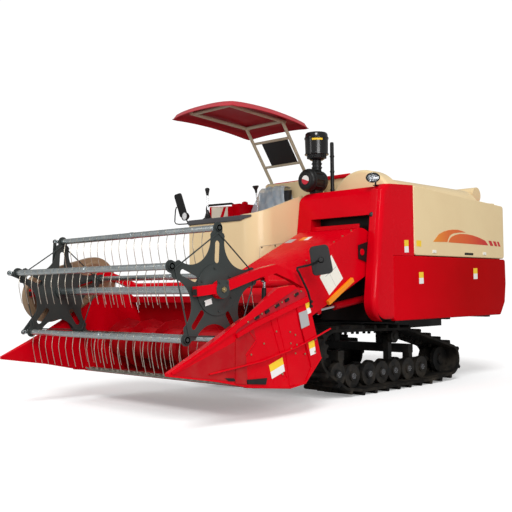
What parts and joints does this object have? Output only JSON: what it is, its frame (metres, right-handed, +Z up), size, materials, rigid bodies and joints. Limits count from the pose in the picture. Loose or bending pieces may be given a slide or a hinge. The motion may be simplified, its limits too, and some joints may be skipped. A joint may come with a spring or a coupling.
{
  "type": "combine harvester",
  "caption": "Tracked combine harvester for rice and small grain, with a reel header, sloping feeder, grain tank, unloading auger and a sun canopy over the open operator station.",
  "frame": {"origin": "middle of the whole machine on the ground under its tracks", "axes": "+X forward towards the header, +Y to the machine left, +Z up"},
  "size_m": [4.866, 2.3642, 2.677],
  "materials": {
    "beige": "satin",
    "body_red": "gloss",
    "bright_rod": "polished",
    "canopy_red": "gloss",
    "dark_plastic": "matte",
    "frame_black": "satin",
    "galvanised": "satin",
    "gear_black": "satin",
    "hood_red": "satin",
    "knife_grey": "matte",
    "mirror_black": "satin",
    "orange": "satin",
    "seat_cover": "satin",
    "spider_grey": "satin",
    "track_rubber": "matte",
    "trough_red": "satin"
  },
  "bodies": {
    "machine": {"track_left": "track_rubber", "track_right": "track_rubber", "track_gear": "gear_black", "chassis_frame": "frame_black", "transmission": "gear_black", "engine_block": "gear_black", "engine_hood": "dark_plastic", "thresher_body": "hood_red", "drive_pulleys": "gear_black", "left_lower_panel": "body_red", "left_front_shield": "body_red", "front_shroud": "body_red", "roof_panel": "body_red", "drum_cover": "beige", "rear_hood": "body_red", "grain_tank": "beige", "right_panels": "body_red", "unloader_turret": "beige", "operator_deck": "frame_black", "operator_fairing": "beige", "console": "dark_plastic", "seat": "seat_cover", "canopy_frame": "beige", "canopy": "canopy_red", "post_plate": "dark_plastic", "side_box": "body_red", "air_cleaner": "dark_plastic", "exhaust_pipe": "galvanised", "control_levers": "dark_plastic", "side_mirror": "mirror_black", "work_lamp": "mirror_black"},
    "header": {"feeder_house": "body_red", "safety_bar": "orange", "header_trough": "trough_red", "header_ends": "trough_red", "knife_bar": "knife_grey"},
    "auger": {"header_auger": "trough_red"},
    "lift_cylinder_barrel": {"lift_barrel": "trough_red"},
    "lift_cylinder_rod": {"lift_rod": "bright_rod"},
    "reel_frame": {"reel_arms": "trough_red"},
    "reel_cylinder_barrel": {"reel_lift_barrel": "gear_black"},
    "reel_cylinder_rod": {"reel_lift_rod": "bright_rod"},
    "reel": {"reel_spiders": "spider_grey", "reel_shaft": "spider_grey"},
    "reel_control": {"control_ring": "spider_grey"},
    "door": {"left_door": "beige"},
    "unloader_head": {"unloader_elbow": "beige"},
    "unloader": {"unloader_tube": "beige"},
    "tine_bar_1_body": {"tine_bar_1": "galvanised"},
    "tine_bar_2_body": {"tine_bar_2": "galvanised"},
    "tine_bar_3_body": {"tine_bar_3": "galvanised"},
    "tine_bar_4_body": {"tine_bar_4": "galvanised"},
    "tine_bar_5_body": {"tine_bar_5": "galvanised"}
  },
  "joints": [
    {"name": "header_lift", "type": "hinge", "parent": "machine", "child": "header", "pos_m": [-0.02903, 0.08385, 1.26252], "axis": [0, -1, 0], "range_deg": [-5, 18]},
    {"name": "auger_spin", "type": "hinge", "parent": "header", "child": "auger", "pos_m": [1.24597, 0.08385, 0.48252], "axis": [0, -1, 0], "continuous": true},
    {"name": "lift_barrel_turn", "type": "hinge", "parent": "machine", "child": "lift_cylinder_barrel", "pos_m": [-0.24903, 0.70385, 0.85052], "axis": [0, -1, 0], "range_deg": [-4, 14]},
    {"name": "lift_rod_slide", "type": "slide", "parent": "lift_cylinder_barrel", "child": "lift_cylinder_rod", "axis": [0.991, 0, -0.1338], "range_m": [-0.04, 0.135]},
    {"name": "reel_lift", "type": "hinge", "parent": "header", "child": "reel_frame", "pos_m": [1.11097, 0.07435, 0.98452], "axis": [0, -1, 0], "range_deg": [0, 20]},
    {"name": "reel_barrel_turn", "type": "hinge", "parent": "header", "child": "reel_cylinder_barrel", "pos_m": [1.51097, 1.10185, 0.70052], "axis": [0, -1, 0], "range_deg": [-1, 3]},
    {"name": "reel_rod_slide", "type": "slide", "parent": "reel_cylinder_barrel", "child": "reel_cylinder_rod", "axis": [-0.0648, 0, 0.9979], "range_m": [-0.002, 0.134]},
    {"name": "reel_spin", "type": "hinge", "parent": "reel_frame", "child": "reel", "pos_m": [1.92547, 0.07435, 0.94422], "axis": [0, -1, 0], "continuous": true},
    {"name": "control_spin", "type": "hinge", "parent": "reel_frame", "child": "reel_control", "pos_m": [1.98747, -0.93015, 0.94422], "axis": [0, -1, 0], "continuous": true},
    {"name": "tine_bar_1_turn", "type": "hinge", "parent": "reel", "child": "tine_bar_1_body", "pos_m": [2.32397, 0.07435, 1.10039], "axis": [0, -1, 0], "continuous": true},
    {"name": "tine_bar_2_turn", "type": "hinge", "parent": "reel", "child": "tine_bar_2_body", "pos_m": [1.90009, 0.07435, 1.37147], "axis": [0, -1, 0], "continuous": true},
    {"name": "tine_bar_3_turn", "type": "hinge", "parent": "reel", "child": "tine_bar_3_body", "pos_m": [1.51129, 0.07435, 1.05211], "axis": [0, -1, 0], "continuous": true},
    {"name": "tine_bar_4_turn", "type": "hinge", "parent": "reel", "child": "tine_bar_4_body", "pos_m": [1.69488, 0.07435, 0.58365], "axis": [0, -1, 0], "continuous": true},
    {"name": "tine_bar_5_turn", "type": "hinge", "parent": "reel", "child": "tine_bar_5_body", "pos_m": [2.19714, 0.07435, 0.61349], "axis": [0, -1, 0], "continuous": true},
    {"name": "door_hinge", "type": "hinge", "parent": "machine", "child": "door", "pos_m": [-2.40703, 0.91885, 1.81252], "axis": [0.9988, 0, 0.0483], "range_deg": [0, 80]},
    {"name": "unloader_swing", "type": "hinge", "parent": "machine", "child": "unloader_head", "pos_m": [-2.16903, -0.75615, 1.93552], "axis": [0, 0, 1], "range_deg": [0, 180]},
    {"name": "unloader_lift", "type": "hinge", "parent": "unloader_head", "child": "unloader", "pos_m": [-2.16903, -0.58615, 2.04152], "axis": [1, 0, 0], "range_deg": [0, 35]}
  ],
  "couplings": [
    {"joint": "lift_barrel_turn", "follows": "header_lift", "ratio": 0.7356},
    {"joint": "lift_rod_slide", "follows": "header_lift", "m_per_rad": 0.42151},
    {"joint": "reel_barrel_turn", "follows": "reel_lift", "ratio": 0.1294},
    {"joint": "reel_rod_slide", "follows": "reel_lift", "m_per_rad": 0.37614},
    {"joint": "control_spin", "follows": "reel_spin", "ratio": 1},
    {"joint": "tine_bar_1_turn", "follows": "reel_spin", "ratio": -1},
    {"joint": "tine_bar_2_turn", "follows": "reel_spin", "ratio": -1},
    {"joint": "tine_bar_3_turn", "follows": "reel_spin", "ratio": -1},
    {"joint": "tine_bar_4_turn", "follows": "reel_spin", "ratio": -1},
    {"joint": "tine_bar_5_turn", "follows": "reel_spin", "ratio": -1}
  ]
}
